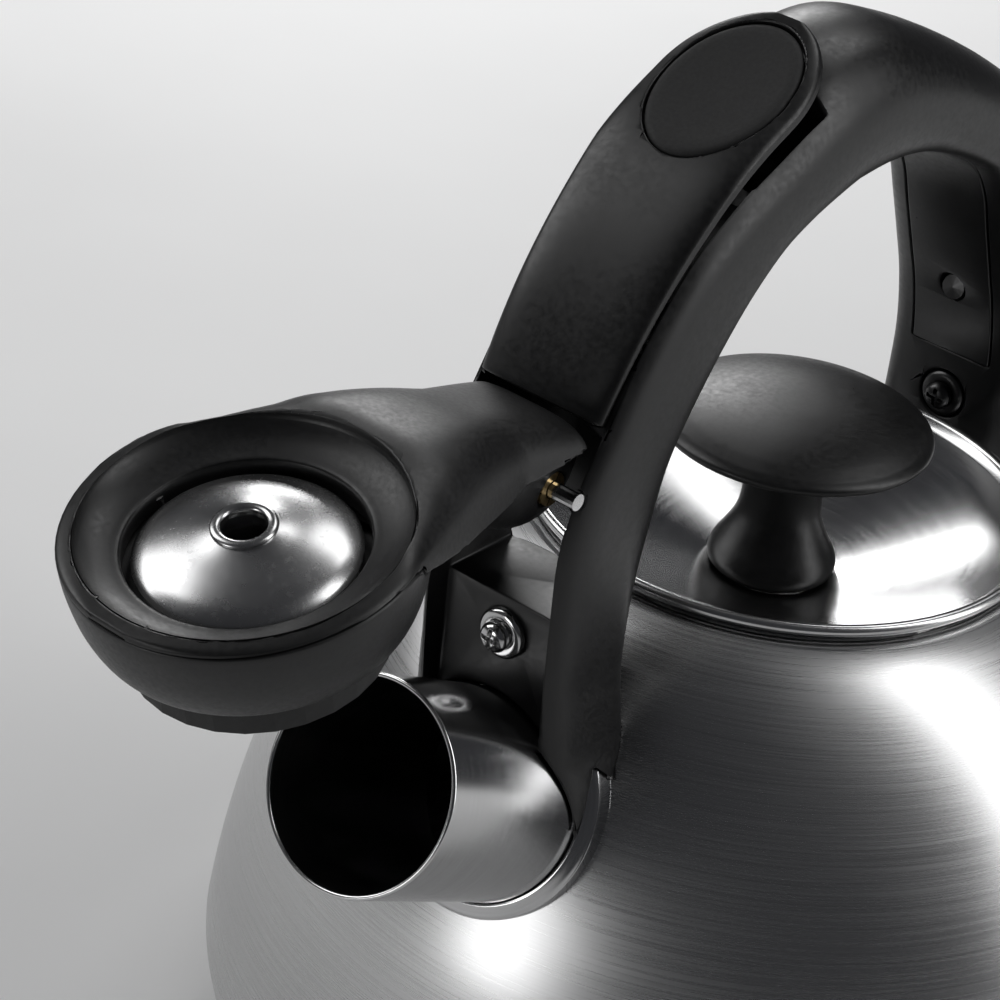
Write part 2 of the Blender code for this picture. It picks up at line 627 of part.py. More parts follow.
def cover_seat():
    """The space that the cover lies in, open outwards."""
    floor = [point.yz for point, _ in cover_line(-COVER_THICKNESS - GAP)]
    above = [point.yz for point, _ in cover_line(14.0)]
    return prism("cover_seat", [*floor, *reversed(above)], COVER_HALF_WIDTH + GAP, where=CUTTERS)


def oval(name, half_length, half_width, low, high, finish=BLACK, where=PARTS, segments=32):
    """An elliptical plug in the frame of the pad."""

    def build(work):
        bmesh.ops.create_cone(work, cap_ends=True, segments=segments, radius1=1, radius2=1, depth=high - low)
        bmesh.ops.scale(work, vec=(half_width, half_length, 1), verts=work.verts)
        bmesh.ops.translate(work, vec=(0, 0, (low + high) / 2), verts=work.verts)

    return mesh_of(name, build, finish, PAD_FRAME, where)


def wall_screw(name, head_at, direction, height, length):
    """A round-headed screw whose head stands out along the direction, with a cross slot."""
    frame = frame_at(head_at, direction)
    screw = turned(name, [(0, height), (1.4, height - 0.15), (2.3, height - 0.8), (2.8, height - 1.7), (2.8, 0),
                          (1.7, 0), (1.7, -length), (0, -length)], POLISHED, frame, steps=16)
    for turn, size in (("across", (2.1, 0.45)), ("along", (0.45, 2.1))):
        cut(screw, box(f"{name}_{turn}", (-size[0], -size[1], height - 1.1), (size[0], size[1], height + 1),
                       frame=frame, where=CUTTERS))
    return screw


def handle_group():
    last = len(ARCH) - 1
    shell = arch_solid("handle_shell", 0, range(last + 1))
    channel = prism("fork_and_channel", (
        (-110.0, 90.0), (-82.0, 90.0), (-82.0, 141.0), (-40.0, 141.0), (-40.0, 157.0), (-69.5, 157.0),
        (-65.0, 168.5), (-57.5, 178.0), (-51.0, 185.5), (-44.0, 192.0), (-36.0, 198.0), (-29.5, 202.5),
        (-29.5, 240.0), (-110.0, 240.0)), CHEEK_INNER, where=CUTTERS)
    pocket = prism("bracket_pocket", ((-77.6, 90), (-40, 90), (-40, 138.2), (-77.6, 138.2)), 9.0, where=CUTTERS)
    slot = strip_solid("strip_slot", STRIP_HALF_WIDTH + GAP, -4.0, STRIP_THICKNESS + GAP, 5, 24, where=CUTTERS)
    cut(shell, tube_cutter("tube_under_handle", 0.5), body_cutter("body_under_handle", 0.5))
    collar_low = SPOUT_MOUTH - SPOUT_AXIS * (SPOUT_LENGTH + 12)
    collar_high = SPOUT_MOUTH - SPOUT_AXIS * (COLLAR_AT - 2.1)
    cut(shell, rod("collar_under_handle", collar_low, collar_high, COLLAR_RADIUS + 0.5, where=CUTTERS,
                   segments=32))
    cut(shell, channel, pocket, cover_seat(), slot)
    hollows = ((13.1, 14, 14.9), (16.2, *range(17, 22), 21.6), (24.3, *range(25, last + 1)))
    for number, stations in enumerate(hollows, 1):
        cut(shell, arch_solid(f"grip_cavity_{number}", HANDLE_WALL, stations, where=CUTTERS))
    screw_z = SCREW_HEIGHT
    cut(shell, rod("front_screw_way", (0, -100, screw_z), (0, -70, screw_z), 2.1, where=CUTTERS, segments=16))
    rear_way = rod("rear_screw_way", (0, 40, screw_z), (0, 62, screw_z), 2.1, where=CUTTERS, segments=16)
    rear_seat = rod("rear_screw_seat", (0, 40, screw_z), (0, 55.8, screw_z), 5.2, where=CUTTERS, segments=24)
    cut(shell, rear_way, rear_seat)
    for name, at, radius in (("hinge", HINGE, PIN_RADIUS), ("rocker", ROCKER, ROCKER_PIN_RADIUS)):
        cut(shell, rod(f"{name}_pin_way", (-14.6, *at.yz), (14.6, *at.yz), radius + GAP, where=CUTTERS))
        rod(f"{name}_pin", (-14.4, *at.yz), (14.4, *at.yz), radius)
    smooth(shell, 50)

    strip = strip_solid("handle_inner_cover", STRIP_HALF_WIDTH, 0.1, STRIP_THICKNESS, 5, 24)
    for number, station in enumerate((11.2, 15.55, 22.7), 1):
        inner, outward, _ = arch_at(station)
        way = rod(f"strip_screw_way_{number}", inner - outward * 5, inner + outward * 11.5, 1.5, where=CUTTERS,
                  segments=16)
        sink = rod(f"strip_screw_seat_{number}", inner - outward * 5, inner + outward * 2.2, 3.0, where=CUTTERS,
                   segments=16)
        cut(strip, way, sink)
        cut(shell, way)
        turned(f"strip_screw_{number}", [(0, 11.0), (1.2, 10.8), (1.2, 1.9), (2.7, 1.9), (2.5, 0.7), (0, 0.4)],
               POLISHED, frame_at(inner, outward), steps=12)
    smooth(strip, 50)

    cover = cover_solid("front_cover")
    cut(cover, oval("button_hole", PAD_HALF_LENGTH + GAP, PAD_HALF_WIDTH + GAP, -8, 8, where=CUTTERS))
    smooth(cover, 50)


def bracket_group():
    front = prism("front_bracket", (
        (-77.3, 137.6), (-77.3, 121.0), (-70.8, 120.6), (-65.0, 119.4), (-64.0, 112.0), (-59.4, 112.0),
        (-59.4, 123.8), (-64.6, 121.8), (-70.0, 123.0), (-75.3, 123.2), (-75.3, 137.6)), 8.0, POLISHED)
    rear = prism("rear_bracket", (
        (58.4, 139.0), (58.4, 112.0), (70.0, 100.0), (70.0, 113.8), (60.6, 125.0), (60.4, 139.0)),
                 8.0, POLISHED)
    holes = rod("bracket_holes", (0, -100, SCREW_HEIGHT), (0, 100, SCREW_HEIGHT), 1.9, where=CUTTERS,
                segments=16)
    for bracket in (front, rear):
        cut(bracket, body_cutter(f"body_under_{bracket.name}", GAP), holes)
    for name, wall, direction in (("front", -82.0, (0, -1, 0)), ("rear", 55.8, (0, -1, 0))):
        turned(f"{name}_washer", [(2.1, 1.6), (3.6, 1.6), (4.6, 1.3), (4.8, 0.3), (2.1, 0.3)], POLISHED,
               frame_at((0, wall, SCREW_HEIGHT), direction), steps=20, closed=True)
        wall_screw(f"{name}_screw", (0, wall - 1.9, SCREW_HEIGHT), direction, 2.3, 10.4)


def button_group():
    pad = oval("thumb_button", PAD_HALF_LENGTH, PAD_HALF_WIDTH, -4.6, 0.0, SOFT_BLACK)
    plunger = box("button_plunger", (-4.0, -5.0, -13.0), (4.0, 5.0, -4.9), BLACK, PAD_FRAME)
    carry("button_axis", PAD_CENTRE, [pad, plunger])
    rocker = prism("rocker", (
        (-75.6, 181.4), (-73.2, 178.6), (-61.2, 186.2), (-46.0, 203.4), (-43.5, 207.0), (-46.6, 209.4),
        (-51.0, 206.8), (-67.8, 192.6)), 5.0, BLACK)
    cut(rocker, rod("rocker_bore", (-9, *ROCKER.yz), (9, *ROCKER.yz), ROCKER_PIN_RADIUS + GAP, where=CUTTERS))
    carry("rocker_axis", ROCKER, [rocker])


def spring_group():
    """A torsion spring coiled round the rocker's pin, with its tail against the floor of the channel."""
    curve = bpy.data.curves.new("rocker_spring", "CURVE")
    curve.dimensions = "3D"
    curve.bevel_depth = 0.4 * MM
    curve.bevel_resolution = 1
    curve.use_fill_caps = True
    turns = 4
    steps = 14 * turns
    points = []
    for i in range(steps + 1):
        a = 2 * pi * i / 14
        points.append((5.8 + 1.05 * i / 14, ROCKER.y + 2.9 * cos(a), ROCKER.z + 2.9 * sin(a)))
    points.append((points[-1][0], ROCKER.y + 6.5, ROCKER.z - 2.6))
    path = curve.splines.new("POLY")
    path.points.add(len(points) - 1)
    for spot, point in zip(path.points, points):
        spot.co = (*(value * MM for value in point), 1.0)
    made = bpy.data.objects.new("rocker_spring", curve)
    PARTS.objects.link(made)
    made.data.materials.append(material("rocker_spring_steel", *POLISHED[1:]))


body_group()
spout_group()
lid_group()
cap_group()
handle_group()
bracket_group()
button_group()
spring_group()
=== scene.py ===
"""The visual model of the stovetop whistling kettle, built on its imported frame."""
from math import cos, pi, radians, sin, sqrt

import bmesh
import bpy
from mathutils import Matrix, Quaternion, Vector


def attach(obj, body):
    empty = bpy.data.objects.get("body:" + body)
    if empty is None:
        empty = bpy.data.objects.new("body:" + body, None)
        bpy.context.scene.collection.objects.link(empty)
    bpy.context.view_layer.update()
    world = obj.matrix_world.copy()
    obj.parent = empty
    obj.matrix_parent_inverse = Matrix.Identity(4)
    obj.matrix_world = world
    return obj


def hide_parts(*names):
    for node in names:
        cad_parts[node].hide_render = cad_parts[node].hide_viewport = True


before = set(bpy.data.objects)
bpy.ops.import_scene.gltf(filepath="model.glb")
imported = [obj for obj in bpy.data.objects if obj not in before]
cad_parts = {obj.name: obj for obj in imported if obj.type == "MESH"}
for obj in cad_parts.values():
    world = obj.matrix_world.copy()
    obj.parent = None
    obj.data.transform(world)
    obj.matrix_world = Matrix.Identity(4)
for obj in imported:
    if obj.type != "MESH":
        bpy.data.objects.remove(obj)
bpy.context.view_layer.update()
MM = 0.001
UPRIGHT = Matrix.Identity(4)
GAP = 0.3

# Body: a shoulder that follows a superellipse, on an encapsulated flat base.
BODY_RADIUS = 104.5
BODY_HEIGHT = 150.0
BODY_LEVEL = -7.7
BODY_POWER = 2.24
BODY_WALL = 1.0
BASE_RADIUS = 87.0
BASE_HEIGHT = 4.6
CORNER_TOP = 24.0
NECK_RADIUS = 46.2
NECK_OUTER = 50.4
NECK_DEPTH = 11.0

# Spout: a straight tube that rises towards -Y.
SPOUT_MOUTH = Vector((0.0, -116.7, 118.6))
SPOUT_ANGLE = radians(28.2)
SPOUT_RADIUS = 19.0
SPOUT_WALL = 0.9
SPOUT_LENGTH = 49.0
COLLAR_RADIUS = 22.1
COLLAR_AT = 42.0

# Lid: a dished disc with a rolled rim, and a mushroom knob.
LID_RADIUS = 49.3
LID_RIM = 131.4
LID_CENTRE = 113.4
LID_POWER = 1.5
LID_WALL = 0.9
KNOB_UNDERSIDE = 145.4
KNOB_TOP = 151.2

# Whistle cap: its own frame has W along the cap's axis and U towards the hinge.
CAP_CENTRE = Vector((0.0, -148.0, 177.8))
CAP_TILT = radians(76.5)
CAP_RADIUS = 28.1
DISC_RADIUS = 17.4
CAP_OPENING = 18.7
ARM_HALF_WIDTH = 12.9
ARM_END = 63.0
BOWL_DEPTH = 14.0
HINGE = Vector((0.0, -86.0, 168.0))
PIN_RADIUS = 1.5

# Handle: an arch between a crown line and an inner line, (y, z) pairs from the front foot to the rear.
ARCH = (
    ((-83.5, 102.0), (-64.0, 102.0)),
    ((-86.5, 115.0), (-63.2, 114.0)),
    ((-88.5, 130.0), (-64.5, 128.0)),
    ((-89.3, 145.0), (-64.3, 142.0)),
    ((-89.6, 158.0), (-62.0, 154.0)),
    ((-87.0, 169.0), (-59.0, 165.5)),
    ((-82.5, 177.5), (-55.5, 172.5)),
    ((-78.0, 186.5), (-50.5, 179.5)),
    ((-72.0, 196.0), (-45.5, 185.5)),
    ((-64.5, 205.0), (-40.0, 191.0)),
    ((-54.5, 212.0), (-33.5, 196.3)),
    ((-44.0, 217.8), (-27.0, 199.0)),
    ((-33.0, 224.0), (-20.5, 200.4)),
    ((-21.0, 229.0), (-13.5, 201.5)),
    ((-7.0, 230.2), (-5.5, 202.7)),
    ((6.5, 226.4), (2.0, 203.1)),
    ((20.0, 221.0), (9.5, 202.3)),
    ((34.5, 213.8), (17.5, 200.3)),
    ((48.5, 205.2), (25.5, 197.2)),
    ((61.0, 195.6), (32.5, 193.0)),
    ((70.5, 185.4), (38.0, 186.0)),
    ((77.0, 174.4), (42.0, 177.0)),
    ((80.8, 163.2), (46.5, 167.0)),
    ((82.6, 152.0), (51.0, 156.5)),
    ((83.0, 140.5), (54.2, 144.0)),
    ((82.2, 127.5), (54.7, 131.0)),
    ((80.5, 112.0), (54.7, 117.0)),
    ((78.0, 98.0), (54.7, 101.0)),
)
HALF_WIDTHS = ((0, 20.6), (1, 17.2), (2, 16.0), (25, 16.0), (27, 16.8))
CROWN_POWER = ((0, 5.0), (6, 4.0), (10, 3.2), (13, 2.3), (20, 2.3), (25, 3.4))
INNER_POWER = ((0, 5.0), (6, 4.0), (10, 3.2), (13, 2.6), (16, 3.2), (18, 5.0))
HANDLE_WALL = 2.7
CHEEK_INNER = 13.2
STRIP_HALF_WIDTH = 9.0
STRIP_THICKNESS = 3.2
SCREW_HEIGHT = 134.2

# Front cover: the line of its face, and the slab's size.
COVER_LINE = ((-82.2, 180.2), (-78.8, 187.0), (-74.2, 194.8), (-68.6, 202.4), (-62.4, 209.4), (-55.9, 215.6),
              (-49.0, 220.3), (-41.3, 224.4), (-35.8, 227.4), (-31.4, 229.7), (-28.2, 231.4), (-26.2, 232.5),
              (-25.0, 233.1))
COVER_THICKNESS = 3.0
COVER_HALF_WIDTH = 14.3
COVER_END = 19.0

# Thumb button: an oval on the top of the front cover, and the rocker under it.
PAD_CENTRE = Vector((0.0, -41.3, 224.4))
PAD_TILT = radians(28.2)
PAD_HALF_LENGTH = 15.9
PAD_HALF_WIDTH = 11.6
ROCKER = Vector((0.0, -64.5, 189.0))
ROCKER_PIN_RADIUS = 1.5

def frame_at(origin, axis):
    """A frame at the origin, in millimetres, whose Z runs along the axis and whose X stays level."""
    z = Vector(axis).normalized()
    x = Vector((1.0, 0.0, 0.0))
    y = z.cross(x).normalized()
    turn = Matrix((x, y, z)).transposed().to_4x4()
    return Matrix.Translation(Vector(origin) * MM) @ turn


SPOUT_AXIS = Vector((0.0, -cos(SPOUT_ANGLE), sin(SPOUT_ANGLE)))
CAP_AXIS = Vector((0.0, -cos(CAP_TILT), sin(CAP_TILT)))
PAD_AXIS = Vector((0.0, -sin(PAD_TILT), cos(PAD_TILT)))
SPOUT_FRAME = frame_at(SPOUT_MOUTH, SPOUT_AXIS)
CAP_FRAME = frame_at(CAP_CENTRE, CAP_AXIS)
PAD_FRAME = frame_at(PAD_CENTRE, PAD_AXIS)

# Heights along the cap, as (distance towards the hinge, height) in the cap's frame.
TOP_LINE = ((-29, 4.0), (0, 4.4), (24, 5.2), (32, 3.6), (40, 0.2), (47.5, -4.0), (56.5, -8.9), (63, -12.8),
            (66, -14.6))
PARTING = ((-40, 2.7), (5, 2.7), (12, -0.6), (18, -3.7), (24, -6.5), (36, -10.9), (48, -14.6), (55, -16.0),
           (80, -19.0))
UNDERSIDE = ((14, -13.2), (22.5, -13.9), (32, -18.0), (42, -24.0), (51, -30.6), (58, -32.8), (63, -30.6),
             (66, -25.5))
ARM_DOME = ((-30, 7.0), (8, 7.0), (16, 4.4), (24, 3.4), (66, 3.4))


# ---------------------------------------------------------------- shapes


def ramp(value, marks):
    """The value read off straight lines through (position, height) marks."""
    for (a, low), (b, high) in zip(marks, marks[1:]):
        if value <= b:
            return low + (high - low) * max(0.0, (value - a) / (b - a))
    return marks[-1][1]


def spline(points, per_span):
    """Points on a Catmull-Rom curve through the given ones, which may be tuples."""
    points = [Vector(point) for point in points]
    padded = [2 * points[0] - points[1], *points, 2 * points[-1] - points[-2]]
    out = []
    for a, b, c, d in zip(padded, padded[1:], padded[2:], padded[3:]):
        for step in range(per_span):
            t = step / per_span
            out.append(0.5 * (2 * b + (c - a) * t + (2 * a - 5 * b + 4 * c - d) * t**2
                              + (3 * b - a - 3 * c + d) * t**3))
    return [*out, points[-1]]


def runs(*pieces, per_span=5):
    """A profile of smooth runs that meet at corners, as (radius, height) pairs."""
    out = []
    for piece in pieces:
        smoothed = spline(piece, per_span) if len(piece) > 2 else [Vector(point) for point in piece]
        if out and (out[-1] - smoothed[0]).length < 1e-6:
            smoothed = smoothed[1:]
        out += smoothed
    return [tuple(point) for point in out]


def place(mesh, name, at=UPRIGHT):
    made = bpy.data.objects.new(name, mesh)
    bpy.context.scene.collection.objects.link(made)
    made.matrix_world = at
    return made


def turned(name, profile, at=UPRIGHT, steps=128, closed=False):
    """A surface of revolution about the frame's Z."""
    mesh = bpy.data.meshes.new(name)
    points = [(r * MM, 0.0, z * MM) for r, z in profile]
    edges = [(i, i + 1) for i in range(len(points) - 1)]
    if closed:
        edges.append((len(points) - 1, 0))
    mesh.from_pydata(points, edges, [])
    made = place(mesh, name, at)
    screw = made.modifiers.new("turn", "SCREW")
    screw.steps = steps
    screw.render_steps = steps
    screw.use_merge_vertices = True
    screw.merge_threshold = 0.00001
    return made


def mesh_of(name, build, at=UPRIGHT):
    work = bmesh.new()
    build(work)
    bmesh.ops.scale(work, vec=(MM, MM, MM), verts=work.verts)
    bmesh.ops.recalc_face_normals(work, faces=work.faces)
    mesh = bpy.data.meshes.new(name)
    work.to_mesh(mesh)
    work.free()
    return place(mesh, name, at)


def rod(name, start, end, radius, at=UPRIGHT, segments=64):
    start, end = Vector(start), Vector(end)
    along = end - start

    def build(work):
        bmesh.ops.create_cone(
            work, cap_ends=True, segments=segments, radius1=radius, radius2=radius, depth=along.length
        )
        turn = along.to_track_quat("Z", "Y").to_matrix().to_4x4()
        bmesh.ops.transform(work, matrix=Matrix.Translation((start + end) / 2) @ turn, verts=work.verts)

    return mesh_of(name, build, at)


def box(name, low, high, at=UPRIGHT):
    low, high = Vector(low), Vector(high)

    def build(work):
        bmesh.ops.create_cube(work, size=1.0)
        bmesh.ops.scale(work, vec=high - low, verts=work.verts)
        bmesh.ops.translate(work, vec=(low + high) / 2, verts=work.verts)

    return mesh_of(name, build, at)


def prism(name, outline, half_width, at=UPRIGHT):
    """A side outline of (y, z) points, extruded to both sides of the middle plane."""

    def build(work):
        face = work.faces.new([work.verts.new((-half_width, y, z)) for y, z in outline])
        grown = bmesh.ops.extrude_face_region(work, geom=[face])
        moved = [part for part in grown["geom"] if isinstance(part, bmesh.types.BMVert)]
        bmesh.ops.translate(work, vec=(2 * half_width, 0, 0), verts=moved)

    return mesh_of(name, build, at)


def lofted(name, rings, at=UPRIGHT):
    """A skin over rings that have the same number of points, closed at both ends."""

    def build(work):
        rows = [[work.verts.new(point) for point in ring] for ring in rings]
        count = len(rows[0])
        for one, other in zip(rows, rows[1:]):
            for i in range(count):
                j = (i + 1) % count
                work.faces.new((one[i], one[j], other[j], other[i]))
        work.faces.new(rows[0])
        work.faces.new(list(reversed(rows[-1])))

    return mesh_of(name, build, at)


def oval(name, half_length, half_width, low, high, segments=96):
    """An elliptical plug in the frame of the pad."""

    def build(work):
        bmesh.ops.create_cone(work, cap_ends=True, segments=segments, radius1=1, radius2=1, depth=high - low)
        bmesh.ops.scale(work, vec=(half_width, half_length, 1), verts=work.verts)
        bmesh.ops.translate(work, vec=(0, 0, (low + high) / 2), verts=work.verts)

    return mesh_of(name, build, PAD_FRAME)


def apply_modifiers(made):
    bpy.context.view_layer.update()
    evaluated = made.evaluated_get(bpy.context.evaluated_depsgraph_get())
    made.data = bpy.data.meshes.new_from_object(evaluated)
    made.modifiers.clear()


def combine(target, operation, tools):
    """Applies one Boolean after another and takes the tools away."""
    for tool in tools:
        modifier = target.modifiers.new(operation.lower(), "BOOLEAN")
        modifier.operation = operation
        modifier.object = tool
        modifier.solver = "MANIFOLD"
    apply_modifiers(target)
    for tool in tools:
        bpy.data.objects.remove(tool, do_unlink=True)


def cut(target, *tools):
    combine(target, "DIFFERENCE", tools)


def join(target, *tools):
    combine(target, "UNION", tools)


def clean(made):
    """Closes the hairline edges that Booleans leave."""
    work = bmesh.new()
    work.from_mesh(made.data)
    bmesh.ops.remove_doubles(work, verts=work.verts, dist=0.02 * MM)
    bmesh.ops.dissolve_degenerate(work, edges=work.edges, dist=0.01 * MM)
    work.to_mesh(made.data)
    work.free()


def skin(made, node, body, look, bevel=0.0, angle=35):
    """The piece stands for a CAD node, with eased edges and a finish of its own."""
    apply_modifiers(made)
    made.data.shade_smooth()
    if bevel:
        clean(made)
        ease = made.modifiers.new("eased edges", "BEVEL")
        ease.width = bevel * MM
        ease.segments = 3
        ease.limit_method = "ANGLE"
        ease.angle_limit = radians(angle)
        ease.use_clamp_overlap = False
        ease.miter_outer = "MITER_ARC"
        apply_modifiers(made)
        made.data.shade_smooth()
    made.data.set_sharp_from_angle(angle=radians(angle))
    made.data.materials.clear()
    made.data.materials.append(look)
    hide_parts(node)
    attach(made, body)
    return made


# ---------------------------------------------------------------- materials


class Nodes:
    """A material's node tree, built a node at a time."""

    def __init__(self, name):
        self.material = bpy.data.materials.new(name)
        self.material.use_nodes = True
        self.tree = self.material.node_tree
        self.shader = self.tree.nodes["Principled BSDF"]

    def add(self, kind, sockets=(), **settings):
        node = self.tree.nodes.new(kind)
        for key, value in settings.items():
            setattr(node, key, value)
        for key, value in dict(sockets).items():
            if isinstance(value, bpy.types.NodeSocket):
                self.tree.links.new(value, node.inputs[key])
            else:
                node.inputs[key].default_value = value
        return node

    def math(self, operation, a, b=0.0):
        return self.add("ShaderNodeMath", {0: a, 1: b}, operation=operation).outputs[0]

    def spread(self, value, low, high, start=0.3, end=0.7):
        """The value mapped from one range to another."""
        return self.add(
            "ShaderNodeMapRange",
            {"Value": value, "From Min": start, "From Max": end, "To Min": low, "To Max": high}
        ).outputs[0]

    def noise(self, scale, vector=None, detail=3.0, roughness=0.5):
        sockets = {"Scale": scale, "Detail": detail, "Roughness": roughness}
        sockets["Vector"] = vector or self.add("ShaderNodeTexCoord").outputs["Object"]
        return self.add("ShaderNodeTexNoise", sockets).outputs[0]

    def tint(self, value, dark, light, start=0.3, end=0.7):
        ramp_node = self.add("ShaderNodeValToRGB", {"Fac": value})
        ramp_node.color_ramp.elements[0].position = start
        ramp_node.color_ramp.elements[1].position = end
        ramp_node.color_ramp.elements[0].color = (*dark, 1)
        ramp_node.color_ramp.elements[1].color = (*light, 1)
        return ramp_node.outputs[0]

    def bump(self, height, strength, distance, normal=None):
        sockets = {"Height": height, "Strength": strength, "Distance": distance * MM}
        if normal:
            sockets["Normal"] = normal
        return self.add("ShaderNodeBump", sockets).outputs[0]

    def finish(self, links, **values):
        for key, socket in links.items():
            self.tree.links.new(socket, self.shader.inputs[key])
        for key, value in values.items():
            self.shader.inputs[key.replace("_", " ")].default_value = value
        return self.material


def round_streaks(nodes, across, around, lean):
    """Coordinates that run fast across the brushing and slowly round the object's own Z. The lean is what the
    depth gains with the radius, against its height."""
    place_at = nodes.add("ShaderNodeTexCoord").outputs["Object"]
    split = nodes.add("ShaderNodeSeparateXYZ", {0: place_at}).outputs
    reach = nodes.math("SQRT", nodes.math("ADD", nodes.math("MULTIPLY", split[0], split[0]),
                                          nodes.math("MULTIPLY", split[1], split[1])))
    angle = nodes.math("ARCTAN2", split[1], split[0])
    turn_x = nodes.math("MULTIPLY", nodes.math("COSINE", angle), around)
    turn_y = nodes.math("MULTIPLY", nodes.math("SINE", angle), around)
    outwards = nodes.math("MULTIPLY", reach, lean[0])
    upwards = nodes.math("MULTIPLY", split[2], lean[1])
    depth = nodes.math("MULTIPLY", nodes.math("ADD", outwards, upwards), across)
    return nodes.add("ShaderNodeCombineXYZ", {0: turn_x, 1: turn_y, 2: depth}).outputs[0]


def brushed_steel(name, roughness, anisotropic, colour, lean, around=1.3, across=3000.0, bump=0.025):
    """Steel brushed in circles: fine streaks, slow patches and a sheen drawn out across them."""
    nodes = Nodes(name)
    streaks = nodes.noise(1.0, round_streaks(nodes, across, around, lean), detail=5.0, roughness=0.65)
    patches = nodes.noise(16.0, detail=3.0)
    shade = nodes.tint(streaks, (colour * 0.92,) * 3, (colour * 1.05, colour * 1.05, colour * 1.06))
    rough = nodes.math("ADD", nodes.spread(streaks, roughness - 0.03, roughness + 0.04),
                       nodes.spread(patches, -0.02, 0.03))
    tangent = nodes.add("ShaderNodeTangent", direction_type="RADIAL", axis="Z").outputs[0]
    return nodes.finish(
        {"Base Color": shade, "Roughness": rough, "Tangent": tangent,
         "Normal": nodes.bump(streaks, bump, 0.05)},
        Metallic=1.0, Anisotropic=anisotropic)


def polished_steel(name, roughness=0.1, colour=0.68):
    """Polished steel with faint wipe marks and dust."""
    nodes = Nodes(name)
    marks = nodes.noise(60.0, detail=6.0)
    dust = nodes.noise(900.0, detail=2.0)
    rough = nodes.math("ADD", nodes.spread(marks, roughness - 0.03, roughness + 0.05),
                       nodes.spread(dust, 0.0, 0.05, 0.55, 0.8))
    shade = nodes.tint(marks, (colour * 0.93,) * 3, (colour, colour, colour * 1.01))
    return nodes.finish({"Base Color": shade, "Roughness": rough, "Normal": nodes.bump(marks, 0.03, 0.2)},
                        Metallic=1.0)


def moulded(name, dark, light, roughness, grain=900.0, bump=0.12, depth=0.06, coat=0.0):
    """Moulded plastic or rubber: fine grain over slow swirls, with a few rubbed patches."""
    nodes = Nodes(name)
    grains = nodes.noise(grain, detail=4.0, roughness=0.6)
    swirls = nodes.noise(35.0, detail=4.0)
    shade = nodes.tint(swirls, dark, light)
    rough = nodes.math("ADD", nodes.spread(grains, roughness - 0.06, roughness + 0.07),
                       nodes.spread(swirls, -0.05, 0.04))
    waves = nodes.bump(swirls, 0.05, 0.4)
    return nodes.finish({"Base Color": shade, "Roughness": rough,
                         "Normal": nodes.bump(grains, bump, depth, waves)}, Coat_Weight=coat)


def cast_metal(name, dark, light, roughness):
    """Plain metal with a spun or drawn grain."""
    nodes = Nodes(name)
    lines = nodes.noise(1.0, round_streaks(nodes, 1800.0, 1.2, (1.0, 0.4)), detail=4.0)
    return nodes.finish({"Base Color": nodes.tint(lines, dark, light),
                         "Roughness": nodes.spread(lines, roughness - 0.06, roughness + 0.08),
                         "Normal": nodes.bump(lines, 0.08, 0.05)}, Metallic=1.0)


BODY_STEEL = brushed_steel("body_brushed_steel", 0.27, 0.6, 0.56, (-0.8, 1.0))
LID_STEEL = brushed_steel("lid_brushed_steel", 0.2, 0.75, 0.6, (1.0, 0.1), across=2200.0)
SPOUT_STEEL = brushed_steel("spout_brushed_steel", 0.17, 0.4, 0.6, (0.1, 1.0))
BRIGHT = polished_steel("polished_steel", 0.17, 0.6)
DARK_STEEL = polished_steel("blackened_steel", 0.34, 0.07)
DISC_STEEL = polished_steel("whistle_disc_steel", 0.25, 0.52)
BLACK = moulded("black_plastic", (0.004, 0.004, 0.0042), (0.007, 0.007, 0.0073), 0.38)
CAP_BLACK = moulded("cap_black_plastic", (0.004, 0.004, 0.0042), (0.007, 0.007, 0.0073), 0.42,
                    1200.0, 0.1, 0.04)
PAD_BLACK = moulded("soft_black_pad", (0.008, 0.008, 0.0083), (0.013, 0.013, 0.0134), 0.7, 1400.0, 0.25, 0.07)
SILICONE = moulded("grey_silicone", (0.2, 0.2, 0.205), (0.27, 0.27, 0.275), 0.62, 700.0, 0.08)
DARK_SILICONE = moulded("dark_silicone", (0.006, 0.006, 0.0062), (0.01, 0.01, 0.0103), 0.6, 700.0, 0.08)
ALUMINIUM = cast_metal("spun_aluminium", (0.5, 0.51, 0.53), (0.68, 0.69, 0.71), 0.4)
BRASS = cast_metal("turned_brass", (0.55, 0.38, 0.16), (0.74, 0.55, 0.27), 0.3)


# ---------------------------------------------------------------- body


def shoulder_radius(z):
    return BODY_RADIUS * (1 - ((z - BODY_LEVEL) / BODY_HEIGHT) ** BODY_POWER) ** (1 / BODY_POWER)


def shoulder_height(r):
    return BODY_LEVEL + BODY_HEIGHT * (1 - (r / BODY_RADIUS) ** BODY_POWER) ** (1 / BODY_POWER)


def shoulder(offset=0.0, count=11):
    """The outer curve from the neck down to the corner, moved out by the offset."""
    top = shoulder_height(NECK_OUTER)
    points = []
    for i in range(count):
        z = top + (CORNER_TOP - top) * (i / (count - 1)) ** 0.8
        r = shoulder_radius(z)
        slope = (shoulder_radius(z + 0.1) - shoulder_radius(z - 0.1)) / 0.2
        length = sqrt(1 + slope**2)
        points.append((r + offset / length, z - offset * slope / length))
    return points


def corner(offset=0.0, count=4):
    """The rounded lower corner, from the wall in to the flat of the base."""
    wall = shoulder_radius(CORNER_TOP)
    rise = CORNER_TOP - BASE_HEIGHT
    reach = wall - BASE_RADIUS
    arc = [radians(90 * i / count) for i in range(1, count + 1)]
    return [
        (BASE_RADIUS + (reach + offset) * cos(a), CORNER_TOP - (rise + offset) * sin(a)) for a in arc
    ]


